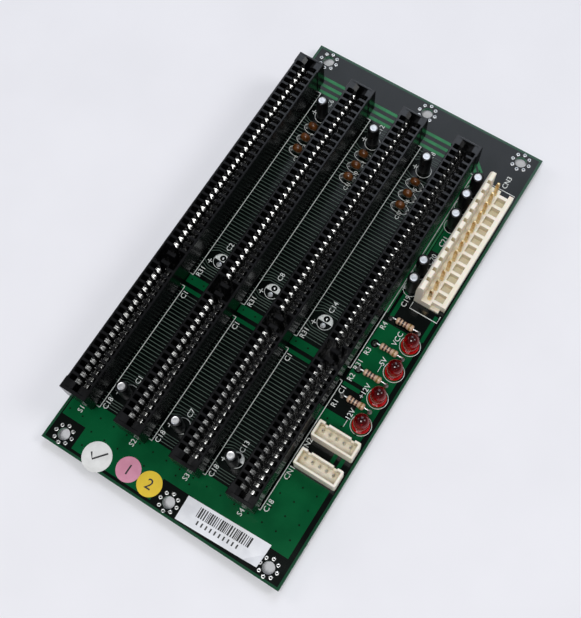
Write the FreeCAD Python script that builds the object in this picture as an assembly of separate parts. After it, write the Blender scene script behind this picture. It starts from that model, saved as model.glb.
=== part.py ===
import FreeCAD, Part
import math
import os

# Four-slot passive backplane board for plug-in computer cards. All sizes are in millimetres.
# X runs across the card slots, Y along them, Z up. Z = 0 is the plane of the trimmed lead tips.

# Board and how far the soldered leads stand out below it
BOARD_WIDTH = 88.9
BOARD_LENGTH = 167.64
BOARD_THICKNESS = 1.6
LEAD_STANDOUT = 2.0
BOARD_UNDER = LEAD_STANDOUT
BOARD_TOP = BOARD_UNDER + BOARD_THICKNESS
LEFT_EDGE = -BOARD_WIDTH / 2
RIGHT_EDGE = BOARD_WIDTH / 2

# Six fixing holes: a row near each end, with a middle column in line with a card slot
HOLE_R = 2.0
HOLE_ROW_FROM_END = 4.25
HOLE_FROM_LEFT = 5.75
HOLE_FROM_RIGHT = 6.15

# Card slots: 31 + 18 contact positions on two rows, on the 0.1 inch grid
# The board takes as many slots as leave room for the strip of headers and lamps on the right
GRID = 2.54
SLOT_PITCH = 8 * GRID
SLOT_FROM_LEFT = 5.45
HEADER_STRIP = 22.4
SLOT_COUNT = 1 + int((BOARD_WIDTH - SLOT_FROM_LEFT - HEADER_STRIP) / SLOT_PITCH)
FIRST_CONTACT_Y = 65.15
LONG_POSITIONS = 31
SHORT_POSITIONS = 18
SECTION_GAP = 4 * GRID

# Slot housing
SLOT_HEIGHT = 15.5
SLOT_WIDTH = 9.0
SLOT_END_WIDTH = 9.5
SLOT_END_BLOCK = 4.0
SLOT_FAR_MARGIN = 4.1
SLOT_NEAR_MARGIN = 4.6
SLOT_FOOT_HEIGHT = 4.5
SLOT_FOOT_INSET = 0.8
RIM = 0.75
CELL_LENGTH = 1.64
CELL_DEPTH = 10.5
CARD_SLOT_WIDTH = 2.0
CARD_SLOT_OVERRUN = 3.4
KEY_WALL_WIDTH = 3.0
KEY_WALL_LENGTH = 1.3

# Spring contacts, each a tapering finger rooted beside the card and flaring out into its cell
CONTACT_WIDTH = 1.2
CONTACT_THICKNESS = 0.4
CONTACT_GAP = 1.1
CONTACT_TIP_FROM_TOP = 2.6
CONTACT_FLARE = 1.65

# Solder cones under the board; the slots' tails are trimmed shorter than the other leads
LEAD_JOINT_R = 0.9
SLOT_TAIL_R = 0.75
SLOT_TAIL_TRIM = 0.3
SLOT_ROW_SPAN = 2 * GRID

# Flat sides on the small round bodies that repeat
ROUND_SIDES = 16
RESISTOR_SIDES = 12

# Power header, twelve pins on the 0.156 inch grid
POWER_PITCH = 3.96
POWER_PINS = 12
POWER_FROM_RIGHT = 12.05
POWER_LEFT_X = RIGHT_EDGE - POWER_FROM_RIGHT
POWER_NEAR_Y = 17.0
POWER_WIDTH = 10.6
POWER_BED_HEIGHT = 3.7
POWER_WALL = 2.4
POWER_WALL_SHOULDER = 9.0
POWER_WALL_HEIGHT = 13.4
POWER_RIDGE = 1.2
POWER_NOTCH = 1.3
POWER_NOTCH_DEPTH = 3.0
POWER_PIN_X = 4.5
POWER_PIN = 1.14
POWER_PIN_TOP = 11.6
POWER_RECESS_X = (6.1, 8.5)
POWER_RECESS = 2.6
POWER_RECESS_FLOOR = 1.0

# Two small shrouded headers, five pins on a 2.5 mm grid
SMALL_PITCH = 2.5
SMALL_PINS = 5
SMALL_FROM_RIGHT = 8.85
SMALL_CENTRE_X = RIGHT_EDGE - SMALL_FROM_RIGHT
SMALL_NEAR_Y = (-39.55, -49.7)
SMALL_END = 2.45
SMALL_LENGTH = (SMALL_PINS - 1) * SMALL_PITCH + 2 * SMALL_END
SMALL_DEPTH = 5.75
SMALL_HEIGHT = 7.0
SMALL_WALL = 0.8
SMALL_FLOOR = 2.4
SMALL_PIN_FROM_NEAR = 3.4
SMALL_PIN = 0.64
SMALL_PIN_TOP = 6.0
SMALL_NOTCH = 1.3
SMALL_NOTCH_X = 4.6
SMALL_NOTCH_DEPTH = 3.2

# Indicator lamps and their series resistors, in pairs down the right-hand side
LAMP_FROM_RIGHT = 5.15
LAMP_X = RIGHT_EDGE - LAMP_FROM_RIGHT
LAMP_FIRST_Y = 2.85
LAMP_PITCH = 4 * GRID
LAMP_COUNT = 4
LAMP_R = 2.5
LAMP_FLANGE_R = 2.95
LAMP_FLANGE_HEIGHT = 1.0
LAMP_HEIGHT = 8.6
LAMP_LEAD_SPAN = GRID
RESISTOR_OFFSET_Y = 2 * GRID
RESISTOR_SPAN = 4 * GRID
RESISTOR_FROM_RIGHT = 5.05
RESISTOR_RIGHT_X = RIGHT_EDGE - RESISTOR_FROM_RIGHT
RESISTOR_BODY = 6.3
RESISTOR_R = 1.15
RESISTOR_WAIST_R = 0.95
RESISTOR_END_R = 0.6
RESISTOR_END = 0.5
RESISTOR_BULGE = 1.8
RESISTOR_SLOPE = 0.4
RESISTOR_CLEARANCE = 0.2
WIRE = 0.6

# Electrolytic capacitors: one at each end of every gap between slots, five beside the power header
CAN_R = 2.0
CAN_HEIGHT = 11.0
CAN_TOP_R = 1.7
CAN_ROLL = 0.4
CAN_LEAD_SPAN = GRID
CAN_FAR_Y = 59.4
CAN_NEAR_Y = -58.5
SUPPLY_CAN_FROM_RIGHT = (14.45, 14.85, 14.35, 15.05, 14.65)
SUPPLY_CAN_Y = (61.5, 54.4, 46.5, 26.9, 20.0)

# Ceramic capacitors, three in every gap between slots
BEAD_LENGTH = 3.8
BEAD_THICKNESS = 2.8
BEAD_HEIGHT = 3.4
BEAD_CHAMFER = 1.1
BEAD_LIFT = 0.8
BEAD_LEAD_SPAN = 2 * GRID
BEAD_Y = (53.2, 48.2, 43.2)


def box(x0, x1, y0, y1, z0, z1):
    """Block between two corners."""
    return Part.makeBox(x1 - x0, y1 - y0, z1 - z0, FreeCAD.Vector(x0, y0, z0))


def prism_along_y(profile, y0, y1):
    """Straight bar along Y whose end view is the list of (x, z) points."""
    points = [FreeCAD.Vector(x, y0, z) for x, z in profile]
    face = Part.Face(Part.makePolygon(points + points[:1]))
    return face.extrude(FreeCAD.Vector(0, y1 - y0, 0))


def prism_up(outline, z0, z1):
    """Straight bar along Z whose plan is the list of (x, y) points."""
    points = [FreeCAD.Vector(x, y, z0) for x, y in outline]
    face = Part.Face(Part.makePolygon(points + points[:1]))
    return face.extrude(FreeCAD.Vector(0, 0, z1 - z0))


def hull_solid(faces):
    """Solid bounded by flat faces, each given as its corner points."""
    shell = Part.Shell([Part.Face(Part.makePolygon(list(f) + [f[0]])) for f in faces])
    solid = Part.Solid(shell)
    if solid.Volume < 0:
        solid.reverse()
    return solid


def pointed(ring, tip):
    """Solid that runs from a flat ring of corner points to one tip."""
    sides = [(ring[i - 1], ring[i], tip) for i in range(len(ring))]
    return hull_solid([ring] + sides)


def solder_cone(x, y, radius, length):
    """Three-sided solder cone with the cut lead tip at its point, hanging under the board."""
    ring = []
    for corner in range(3):
        angle = math.radians(90 + 120 * corner)
        ring.append(FreeCAD.Vector(x + radius * math.cos(angle), y + radius * math.sin(angle), BOARD_UNDER))
    return pointed(ring, FreeCAD.Vector(x, y, BOARD_UNDER - length))


def flat_sided(profile, sides):
    """Round body about the Z axis from (radius, height) rings, with flat sides; a last radius of 0 is a point."""
    rings = []
    for radius, height in profile:
        angles = [2 * math.pi * side / sides for side in range(sides)]
        rings.append([FreeCAD.Vector(radius * math.cos(a), radius * math.sin(a), height) for a in angles])
    faces = [rings[0]]
    for low, high, (radius, height) in zip(rings, rings[1:], profile[1:]):
        for side in range(sides):
            if radius > 0:
                faces.append([low[side - 1], low[side], high[side], high[side - 1]])
            else:
                faces.append([low[side - 1], low[side], FreeCAD.Vector(0, 0, height)])
    if profile[-1][0] > 0:
        faces.append(rings[-1])
    return hull_solid(faces)


def contact_y_positions():
    """Y of every contact position, far end first, as the long run and the short run beyond the key."""
    long_part = [FIRST_CONTACT_Y - GRID * i for i in range(LONG_POSITIONS)]
    short_start = long_part[-1] - SECTION_GAP
    short_part = [short_start - GRID * i for i in range(SHORT_POSITIONS)]
    return long_part, short_part


def slot_centre_x(index):
    return LEFT_EDGE + SLOT_FROM_LEFT + SLOT_PITCH * index


def circuit_board():
    """Laminate with six fixing holes."""
    board = box(LEFT_EDGE, RIGHT_EDGE, -BOARD_LENGTH / 2, BOARD_LENGTH / 2, BOARD_UNDER, BOARD_TOP)
    for x in (LEFT_EDGE + HOLE_FROM_LEFT, slot_centre_x(SLOT_COUNT // 2), RIGHT_EDGE - HOLE_FROM_RIGHT):
        for side in (-1, 1):
            y = side * (BOARD_LENGTH / 2 - HOLE_ROW_FROM_END)
            board = board.cut(Part.makeCylinder(HOLE_R, BOARD_THICKNESS, FreeCAD.Vector(x, y, BOARD_UNDER)))
    return board


def slot_hollows(x, positions, floor, top):
    """Cutters for one run: the card slot and, across it, the cells whose back walls slope in to the floor."""
    outer = SLOT_WIDTH / 2 - RIM
    inner = CARD_SLOT_WIDTH / 2
    far = positions[0] + CARD_SLOT_OVERRUN
    near = positions[-1] - CARD_SLOT_OVERRUN
    hollows = [box(x - inner, x + inner, near, far, floor, top)]
    profile = [(x - outer, top), (x + outer, top), (x + inner, floor), (x - inner, floor)]
    for y in positions:
        hollows.append(prism_along_y(profile, y - CELL_LENGTH / 2, y + CELL_LENGTH / 2))
    return hollows


def slot_housing(index):
    """Moulded slot body: foot, walls, wider end blocks, two runs of cells and the key between them."""
    x = slot_centre_x(index)
    long_part, short_part = contact_y_positions()
    far = long_part[0] + SLOT_FAR_MARGIN
    near = short_part[-1] - SLOT_NEAR_MARGIN
    top = BOARD_TOP + SLOT_HEIGHT
    shoulder = BOARD_TOP + SLOT_FOOT_HEIGHT
    half = SLOT_WIDTH / 2
    end_half = SLOT_END_WIDTH / 2
    inset = SLOT_FOOT_INSET
    plan = [(-half, near + SLOT_END_BLOCK), (-end_half, near + SLOT_END_BLOCK), (-end_half, near)]
    plan += [(end_half, near), (end_half, near + SLOT_END_BLOCK), (half, near + SLOT_END_BLOCK)]
    plan += [(half, far - SLOT_END_BLOCK), (end_half, far - SLOT_END_BLOCK), (end_half, far)]
    plan += [(-end_half, far), (-end_half, far - SLOT_END_BLOCK), (-half, far - SLOT_END_BLOCK)]
    body = prism_up([(x + px, py) for px, py in plan], shoulder, top)
    foot = box(x - half + inset, x + half - inset, near + inset, far - inset, BOARD_TOP, shoulder)
    floor = top - CELL_DEPTH
    hollows = slot_hollows(x, long_part, floor, top) + slot_hollows(x, short_part, floor, top)
    key_far = long_part[-1] - GRID + CELL_LENGTH / 2
    key_near = short_part[0] + GRID - CELL_LENGTH / 2
    outer = half - RIM
    hollows.append(box(x - outer, x + outer, key_near, key_far, floor, top))
    housing = body.fuse(foot).cut(hollows)
    wall_half = KEY_WALL_WIDTH / 2
    long_stop = long_part[-1] - CARD_SLOT_OVERRUN
    short_stop = short_part[0] + CARD_SLOT_OVERRUN
    for low in (long_stop - KEY_WALL_LENGTH, short_stop - KEY_WALL_LENGTH):
        housing = housing.fuse(box(x - wall_half, x + wall_half, low, low + KEY_WALL_LENGTH, floor, top))
    return housing.removeSplitter()


def slot_contacts(index):
    """All contacts of one slot: two rows of spring fingers across the card slot, and their soldered tails."""
    x = slot_centre_x(index)
    top = BOARD_TOP + SLOT_HEIGHT
    floor = top - CELL_DEPTH
    half = CONTACT_WIDTH / 2
    fingers = []
    tails = []
    for y in sum(contact_y_positions(), []):
        for side in (-1, 1):
            inner = x + side * CONTACT_GAP / 2
            outer = inner + side * CONTACT_THICKNESS
            root = [FreeCAD.Vector(inner, y - half, floor), FreeCAD.Vector(inner, y + half, floor)]
            root += [FreeCAD.Vector(outer, y + half, floor), FreeCAD.Vector(outer, y - half, floor)]
            tip = FreeCAD.Vector(inner + side * CONTACT_FLARE, y, top - CONTACT_TIP_FROM_TOP)
            fingers.append(pointed(root, tip))
            tail_x = x + side * SLOT_ROW_SPAN / 2
            tails.append(solder_cone(tail_x, y, SLOT_TAIL_R, LEAD_STANDOUT - SLOT_TAIL_TRIM))
    return Part.makeCompound(fingers + tails)


def power_pin_positions():
    first = POWER_NEAR_Y + POWER_PITCH / 2
    return [(POWER_LEFT_X + POWER_PIN_X, first + POWER_PITCH * i) for i in range(POWER_PINS)]


def power_header_body():
    """Bed with key recesses on one side of the pins and a notched locking wall on the other."""
    x = POWER_LEFT_X
    z = BOARD_TOP
    near = POWER_NEAR_Y
    far = near + POWER_PITCH * POWER_PINS
    profile = [(0, 0), (POWER_WIDTH, 0), (POWER_WIDTH, POWER_BED_HEIGHT), (POWER_WALL, POWER_BED_HEIGHT)]
    profile += [(POWER_WALL, POWER_WALL_HEIGHT), (POWER_WALL - POWER_RIDGE, POWER_WALL_HEIGHT)]
    profile.append((0, POWER_WALL_SHOULDER))
    body = prism_along_y([(x + px, z + pz) for px, pz in profile], near, far)
    recess_x0 = x + POWER_RECESS_X[0]
    recess_x1 = x + POWER_RECESS_X[1]
    for pin_x, pin_y in power_pin_positions()[:-1]:
        middle = pin_y + POWER_PITCH / 2
        recess = box(recess_x0, recess_x1, middle - POWER_RECESS / 2, middle + POWER_RECESS / 2,
                     z + POWER_RECESS_FLOOR, z + POWER_BED_HEIGHT)
        notch = box(x + POWER_WALL - POWER_RIDGE, x + POWER_WALL, middle - POWER_NOTCH / 2, middle + POWER_NOTCH / 2,
                    z + POWER_WALL_HEIGHT - POWER_NOTCH_DEPTH, z + POWER_WALL_HEIGHT)
        body = body.cut(recess).cut(notch)
    open_end = box(recess_x0, recess_x1, far - POWER_RECESS / 2, far, z, z + POWER_BED_HEIGHT)
    return body.cut(open_end)


def square_pin(x, y, width, z0, z1):
    """Square pin with a short pointed end."""
    half = width / 2
    shaft_top = z1 - width
    shaft = box(x - half, x + half, y - half, y + half, z0, shaft_top)
    corners = [(-half, -half), (half, -half), (half, half), (-half, half)]
    low = [FreeCAD.Vector(x + px, y + py, shaft_top) for px, py in corners]
    high = [FreeCAD.Vector(x + px / 2, y + py / 2, z1) for px, py in corners]
    sides = [(low[i], low[(i + 1) % 4], high[(i + 1) % 4], high[i]) for i in range(4)]
    return shaft.fuse(hull_solid([low, high] + sides))


def power_header_pins():
    pins = []
    for x, y in power_pin_positions():
        pins.append(square_pin(x, y, POWER_PIN, BOARD_TOP + POWER_BED_HEIGHT, BOARD_TOP + POWER_PIN_TOP))
    return Part.makeCompound(pins)


def small_pin_positions(index):
    first = SMALL_CENTRE_X - SMALL_PITCH * (SMALL_PINS - 1) / 2
    y = SMALL_NEAR_Y[index] + SMALL_PIN_FROM_NEAR
    return [(first + SMALL_PITCH * i, y) for i in range(SMALL_PINS)]


def small_header_body(index):
    """Open-topped shroud with two key notches in its far wall."""
    x0 = SMALL_CENTRE_X - SMALL_LENGTH / 2
    x1 = SMALL_CENTRE_X + SMALL_LENGTH / 2
    y0 = SMALL_NEAR_Y[index]
    y1 = y0 + SMALL_DEPTH
    z0 = BOARD_TOP
    z1 = z0 + SMALL_HEIGHT
    wall = SMALL_WALL
    shroud = box(x0, x1, y0, y1, z0, z1)
    shroud = shroud.cut(box(x0 + wall, x1 - wall, y0 + wall, y1 - wall, z0 + SMALL_FLOOR, z1))
    for side in (-1, 1):
        middle = SMALL_CENTRE_X + side * SMALL_NOTCH_X
        notch = box(middle - SMALL_NOTCH / 2, middle + SMALL_NOTCH / 2, y1 - wall, y1, z1 - SMALL_NOTCH_DEPTH, z1)
        shroud = shroud.cut(notch)
    return shroud


def small_header_pins(index):
    pins = []
    for x, y in small_pin_positions(index):
        pins.append(square_pin(x, y, SMALL_PIN, BOARD_TOP + SMALL_FLOOR, BOARD_TOP + SMALL_PIN_TOP))
    return Part.makeCompound(pins)


def lamp_y(index):
    return LAMP_FIRST_Y - LAMP_PITCH * index


def lamp(index):
    """Round lamp: flange, straight lens wall and a domed end."""
    dome_start = LAMP_HEIGHT - LAMP_R
    profile = [(LAMP_FLANGE_R, 0), (LAMP_FLANGE_R, LAMP_FLANGE_HEIGHT), (LAMP_R, LAMP_FLANGE_HEIGHT)]
    for degrees in (0, 30, 60):
        angle = math.radians(degrees)
        profile.append((LAMP_R * math.cos(angle), dome_start + LAMP_R * math.sin(angle)))
    profile.append((0, LAMP_HEIGHT))
    lens = flat_sided(profile, ROUND_SIDES)
    lens.translate(FreeCAD.Vector(LAMP_X, lamp_y(index), BOARD_TOP))
    return lens


def resistor_pads(index):
    y = lamp_y(index) + RESISTOR_OFFSET_Y
    return [(RESISTOR_RIGHT_X - RESISTOR_SPAN, y), (RESISTOR_RIGHT_X, y)]


def resistor(index):
    """Round body with bulged ends lying along X, and two square-bent wires down to the board."""
    (left_x, y), (right_x, y) = resistor_pads(index)
    centre_x = (left_x + right_x) / 2
    axis_z = BOARD_TOP + RESISTOR_CLEARANCE + RESISTOR_R
    half = RESISTOR_BODY / 2
    rings = [(RESISTOR_END_R, 0), (RESISTOR_R, RESISTOR_END), (RESISTOR_R, RESISTOR_BULGE)]
    rings.append((RESISTOR_WAIST_R, RESISTOR_BULGE + RESISTOR_SLOPE))
    rings += [(radius, RESISTOR_BODY - height) for radius, height in reversed(rings)]
    body = flat_sided(rings, RESISTOR_SIDES)
    body.rotate(FreeCAD.Vector(0, 0, 0), FreeCAD.Vector(0, 1, 0), 90)
    body.translate(FreeCAD.Vector(centre_x - half, y, axis_z))
    for side, pad_x in ((-1, left_x), (1, right_x)):
        end = centre_x + side * half
        outer = pad_x + side * WIRE / 2
        inner = pad_x - side * WIRE / 2
        low = axis_z - WIRE / 2
        high = axis_z + WIRE / 2
        bend = [(end, high), (outer, high), (outer, BOARD_TOP), (inner, BOARD_TOP), (inner, low), (end, low)]
        body = body.fuse(prism_along_y(bend, y - WIRE / 2, y + WIRE / 2))
    return body


def gap_centre_x(index):
    return slot_centre_x(index) + SLOT_PITCH / 2


def can_positions():
    """Slot gaps first, far then near end of each, then the row beside the power header."""
    places = []
    for gap in range(SLOT_COUNT - 1):
        places.append((gap_centre_x(gap), CAN_FAR_Y))
        places.append((gap_centre_x(gap), CAN_NEAR_Y))
    return places + [(RIGHT_EDGE - x, y) for x, y in zip(SUPPLY_CAN_FROM_RIGHT, SUPPLY_CAN_Y)]


def can_capacitor(place):
    """Sleeved can standing on the board, its sleeve rolled over the top edge."""
    can = flat_sided([(CAN_R, 0), (CAN_R, CAN_HEIGHT - CAN_ROLL), (CAN_TOP_R, CAN_HEIGHT)], ROUND_SIDES)
    can.translate(FreeCAD.Vector(place[0], place[1], BOARD_TOP))
    return can


def bead_positions():
    return [(gap_centre_x(gap), y) for gap in range(SLOT_COUNT - 1) for y in BEAD_Y]


def bead_capacitor(place):
    """Dipped bead on two splayed leads."""
    x, y = place
    half = BEAD_LENGTH / 2
    low = BOARD_TOP + BEAD_LIFT
    high = low + BEAD_HEIGHT
    cut = BEAD_CHAMFER
    profile = [(-half + cut, low), (half - cut, low), (half, low + cut), (half, high - cut)]
    profile += [(half - cut, high), (-half + cut, high), (-half, high - cut), (-half, low + cut)]
    bead = prism_along_y([(x + px, pz) for px, pz in profile], y - BEAD_THICKNESS / 2, y + BEAD_THICKNESS / 2)
    for side in (-1, 1):
        pad = BEAD_LEAD_SPAN / 2
        lead = [(pad + WIRE / 2, BOARD_TOP), (pad - WIRE / 2, BOARD_TOP)]
        lead += [(half - cut, low + WIRE / 2), (half - cut + WIRE / 2, low + WIRE)]
        bead = bead.fuse(prism_along_y([(x + side * px, pz) for px, pz in lead], y - WIRE / 2, y + WIRE / 2))
    return bead


def lead_joints():
    """Soldered lead ends of every part other than the card slots; the board lies on these."""
    pads = power_pin_positions()
    for index in range(len(SMALL_NEAR_Y)):
        pads += small_pin_positions(index)
    for index in range(LAMP_COUNT):
        pads += resistor_pads(index)
        pads += [(LAMP_X, lamp_y(index) + side * LAMP_LEAD_SPAN / 2) for side in (-1, 1)]
    for x, y in can_positions():
        pads += [(x, y - CAN_LEAD_SPAN / 2), (x, y + CAN_LEAD_SPAN / 2)]
    for x, y in bead_positions():
        pads += [(x - BEAD_LEAD_SPAN / 2, y), (x + BEAD_LEAD_SPAN / 2, y)]
    return Part.makeCompound([solder_cone(x, y, LEAD_JOINT_R, LEAD_STANDOUT) for x, y in pads])


# Build every named piece
pieces = {"circuit_board": circuit_board(), "lead_joints": lead_joints()}
for slot in range(SLOT_COUNT):
    number = slot + 1
    pieces["slot_housing_%d" % number] = slot_housing(slot)
    pieces["slot_contacts_%d" % number] = slot_contacts(slot)
pieces["power_header_body"] = power_header_body()
pieces["power_header_pins"] = power_header_pins()
for header in range(len(SMALL_NEAR_Y)):
    pieces["small_header_body_%d" % (header + 1)] = small_header_body(header)
    pieces["small_header_pins_%d" % (header + 1)] = small_header_pins(header)
for number in range(LAMP_COUNT):
    pieces["indicator_led_%d" % (number + 1)] = lamp(number)
    pieces["resistor_%d" % (number + 1)] = resistor(number)
for number, place in enumerate(can_positions()):
    pieces["electrolytic_capacitor_%02d" % (number + 1)] = can_capacitor(place)
for number, place in enumerate(bead_positions()):
    pieces["ceramic_capacitor_%d" % (number + 1)] = bead_capacitor(place)

os.makedirs("parts", exist_ok=True)
for name, shape in pieces.items():
    shape.exportStep("parts/%s.step" % name)
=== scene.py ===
import math

import bmesh
import bpy
import numpy as np
from mathutils import Matrix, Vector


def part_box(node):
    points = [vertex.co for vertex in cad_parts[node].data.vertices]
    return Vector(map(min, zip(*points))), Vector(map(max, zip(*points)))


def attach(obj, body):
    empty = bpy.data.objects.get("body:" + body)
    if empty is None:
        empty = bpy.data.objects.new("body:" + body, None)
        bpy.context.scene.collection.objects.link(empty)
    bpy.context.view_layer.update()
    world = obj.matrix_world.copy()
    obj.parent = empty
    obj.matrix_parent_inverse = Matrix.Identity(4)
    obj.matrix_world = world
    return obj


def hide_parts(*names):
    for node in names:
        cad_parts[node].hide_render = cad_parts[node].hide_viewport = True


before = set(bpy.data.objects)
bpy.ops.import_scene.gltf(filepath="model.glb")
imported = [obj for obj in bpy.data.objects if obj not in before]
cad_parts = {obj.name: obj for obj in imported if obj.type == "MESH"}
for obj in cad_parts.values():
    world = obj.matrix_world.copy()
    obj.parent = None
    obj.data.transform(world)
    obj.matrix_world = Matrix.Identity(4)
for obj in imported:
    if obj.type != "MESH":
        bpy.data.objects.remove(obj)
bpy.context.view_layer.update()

# Laminate
# The board is 1.6 mm woven glass-fibre laminate, routed to size and drilled with six fixing holes.
# A glossy green solder mask covers both faces, nearly black where no copper lies under it.
MM = 0.001
NOISE_DETAIL = 3.0
TONE_SPAN = (0.35, 0.65)
GLOSS_SPAN = (0.3, 0.7)
MASK_TONES = ("#020504", "#030906")
BORDER_WIDTH = 0.85
BORDER_GREEN = "#17442d"
EDGE_FIBRE = "#3d7a5b"
EDGE_TILT = 0.5
WEAVE_PITCH = 0.7
WEAVE_RELIEF = 0.004
WAVE_RADIANS = 20


def box_mm(node):
    """Lowest and highest corner of a piece of the frame, in millimetres."""
    low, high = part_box(node)
    return np.array(low) / MM, np.array(high) / MM


def linear(colour):
    """sRGB hex colour as linear red, green and blue, with an alpha of 1."""
    parts = np.array([int(colour[start:start + 2], 16) for start in (1, 3, 5)]) / 255
    light = np.where(parts <= 0.04045, parts / 12.92, ((parts + 0.055) / 1.055) ** 2.4)
    return (*light.tolist(), 1.0)


def add(tree, kind, inputs, **settings):
    """Adds one node: settings are its own properties, inputs are values for its sockets or links to them."""
    made = tree.nodes.new(kind)
    for name, value in settings.items():
        setattr(made, name, value)
    for name, value in inputs.items():
        if isinstance(value, bpy.types.NodeSocket):
            tree.links.new(value, made.inputs[name])
        else:
            made.inputs[name].default_value = value
    return made


def drifting_finish(name, tones, patch, rough, metallic=0.0, bump=0.0, bump_grain=0.3, **sockets):
    """Finish whose colour drifts between two tones over patches, with a fine bump; sizes in millimetres.

    The same noise runs the roughness from its low to its high value. Other sockets are set by their names.
    """
    finish = bpy.data.materials.new(name)
    finish.use_nodes = True
    tree = finish.node_tree
    shader = tree.nodes["Principled BSDF"]
    where = add(tree, "ShaderNodeTexCoord", {}).outputs["Object"]
    noise = add(tree, "ShaderNodeTexNoise",
                {"Vector": where, "Scale": 1 / (patch * MM), "Detail": NOISE_DETAIL})
    level = noise.outputs["Fac"]
    drift = add(tree, "ShaderNodeMapRange", {0: level, 1: TONE_SPAN[0], 2: TONE_SPAN[1]})
    # A mix has its two colours at sockets 6 and 7
    colour = add(tree, "ShaderNodeMix", {0: drift.outputs[0], 6: linear(tones[0]), 7: linear(tones[1])},
                 data_type="RGBA")
    tree.links.new(colour.outputs[2], shader.inputs["Base Color"])
    gloss = add(tree, "ShaderNodeMapRange",
                {0: level, 1: GLOSS_SPAN[0], 2: GLOSS_SPAN[1], 3: rough[0], 4: rough[1]})
    tree.links.new(gloss.outputs[0], shader.inputs["Roughness"])
    shader.inputs["Metallic"].default_value = metallic
    for socket, value in sockets.items():
        shader.inputs[socket.replace("_", " ")].default_value = value
    if bump:
        grain = add(tree, "ShaderNodeTexNoise", {"Vector": where, "Scale": 1 / (bump_grain * MM)})
        bumps = add(tree, "ShaderNodeBump", {"Height": grain.outputs["Fac"], "Distance": bump * MM})
        tree.links.new(bumps.outputs["Normal"], shader.inputs["Normal"])
    return finish


def coat(node, finish):
    """Gives a piece of the frame its finish and leaves its shape alone."""
    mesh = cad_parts[node].data
    mesh.materials.clear()
    mesh.materials.append(finish)


# Bare mask on laminate: near black and glossy over the weave, a green border where the bare laminate shows
# through and paler fibre on the cut edges
board_low, board_high = box_mm("circuit_board")
board_under = board_low[2]
board_top = board_high[2]
bare_mask = drifting_finish("solder mask on bare laminate", MASK_TONES, patch=9.0, rough=(0.13, 0.2),
                            Specular_IOR_Level=0.2)
tree = bare_mask.node_tree
shader = tree.nodes["Principled BSDF"]
where = add(tree, "ShaderNodeTexCoord", {}).outputs["Object"]
from_middle = add(tree, "ShaderNodeVectorMath", {0: where}, operation="ABSOLUTE")
spot = add(tree, "ShaderNodeSeparateXYZ", {0: from_middle.outputs[0]})
inside = (board_high - BORDER_WIDTH) * MM
past_x, past_y = [add(tree, "ShaderNodeMath", {0: spot.outputs[axis], 1: inside[axis]},
                      operation="GREATER_THAN") for axis in (0, 1)]
border = add(tree, "ShaderNodeMath", {0: past_x.outputs[0], 1: past_y.outputs[0]}, operation="MAXIMUM")
facing = add(tree, "ShaderNodeSeparateXYZ", {0: add(tree, "ShaderNodeNewGeometry", {}).outputs["Normal"]})
upright = add(tree, "ShaderNodeMath", {0: facing.outputs["Z"]}, operation="ABSOLUTE")
cut_edge = add(tree, "ShaderNodeMath", {0: upright.outputs[0], 1: EDGE_TILT}, operation="LESS_THAN")
colour = shader.inputs["Base Color"].links[0].from_socket
for share, tone in ((border, BORDER_GREEN), (cut_edge, EDGE_FIBRE)):
    mixed = add(tree, "ShaderNodeMix", {0: share.outputs[0], 6: colour, 7: linear(tone)}, data_type="RGBA")
    colour = mixed.outputs[2]
tree.links.new(colour, shader.inputs["Base Color"])
# A wave texture of scale 1 turns through WAVE_RADIANS a metre
wave_scale = 2 * math.pi / WAVE_RADIANS / (WEAVE_PITCH * MM)
warp, weft = [add(tree, "ShaderNodeTexWave", {"Vector": where, "Scale": wave_scale}, bands_direction=axis)
              for axis in ("X", "Y")]
weave = add(tree, "ShaderNodeMath", {0: warp.outputs["Fac"], 1: weft.outputs["Fac"]}, operation="MULTIPLY")
relief = add(tree, "ShaderNodeBump", {"Height": weave.outputs[0], "Distance": WEAVE_RELIEF * MM})
tree.links.new(relief.outputs["Normal"], shader.inputs["Normal"])
coat("circuit_board", bare_mask)

# Copper under the mask
# Etched copper planes and tracks lie on the laminate under the mask, so each stands slightly proud and
# shows a clearer green. The tracks of the bus cross from slot to slot and bend round the capacitors; a
# ground plane fills the underside.
COPPER = 0.035
DOUBLE_POINTS = 1e-7
SHARP_ANGLE = 38
PLATE_SIDES = np.array([[0, 3, 2, 1], [4, 5, 6, 7], [0, 1, 5, 4], [1, 2, 6, 5], [2, 3, 7, 6], [3, 0, 4, 7]])
EMPTY_CAN_Y = -4.64
PLANES = (
    (-43.2, 41.9, -74.3, -66.0), (-34.0, -3.7, -82.0, -74.3), (27.0, 41.9, -66.0, -50.2),
    (24.5, 41.9, -33.5, -28.6), (35.2, 41.9, -28.6, -16.6), (27.3, 41.9, -16.6, 6.0),
    (27.3, 33.5, -19.3, -18.0), (41.0, 42.3, 6.0, 16.0), (28.4, 29.8, 8.5, 19.0),
    (28.6, 31.4, 35.5, 44.0), (37.0, 38.3, -43.5, -39.0), (39.7, 41.0, -43.5, -39.0),
)
KEY_BANDS = ((-16.6, -13.5), (-19.3, -18.0))
GROUND = (
    (-42.6, 42.6, -74.0, 74.0), (-33.4, -3.6, -81.9, -74.0), (6.9, 33.0, -81.9, -74.0),
    (-33.4, -3.6, 74.0, 81.9), (6.9, 33.0, 74.0, 81.9),
)
BUS_STRIPE_WIDTH = 1.2
BUS_STRIPES = (
    ((-36.5, 72.9), (24.8, 72.9), (28.8, 68.9)), ((-36.5, 70.3), (24.8, 70.3), (27.4, 67.7)),
    ((-36.5, 67.8), (24.8, 67.8), (25.8, 66.8)),
)
SIDE_STRIPE_WIDTH = 0.6
SIDE_STRIPES = (
    ((28.0, 69.5), (28.0, 45.0), (28.0, 20.0)), ((27.1, 68.0), (27.1, 40.0), (27.1, 9.0)),
    ((26.2, 66.8), (26.2, 40.0), (26.2, 9.0)),
)
TRACK_PITCH = 1.27
TRACK_WIDTH = 0.24
TRACK_POINTS = 33
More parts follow.
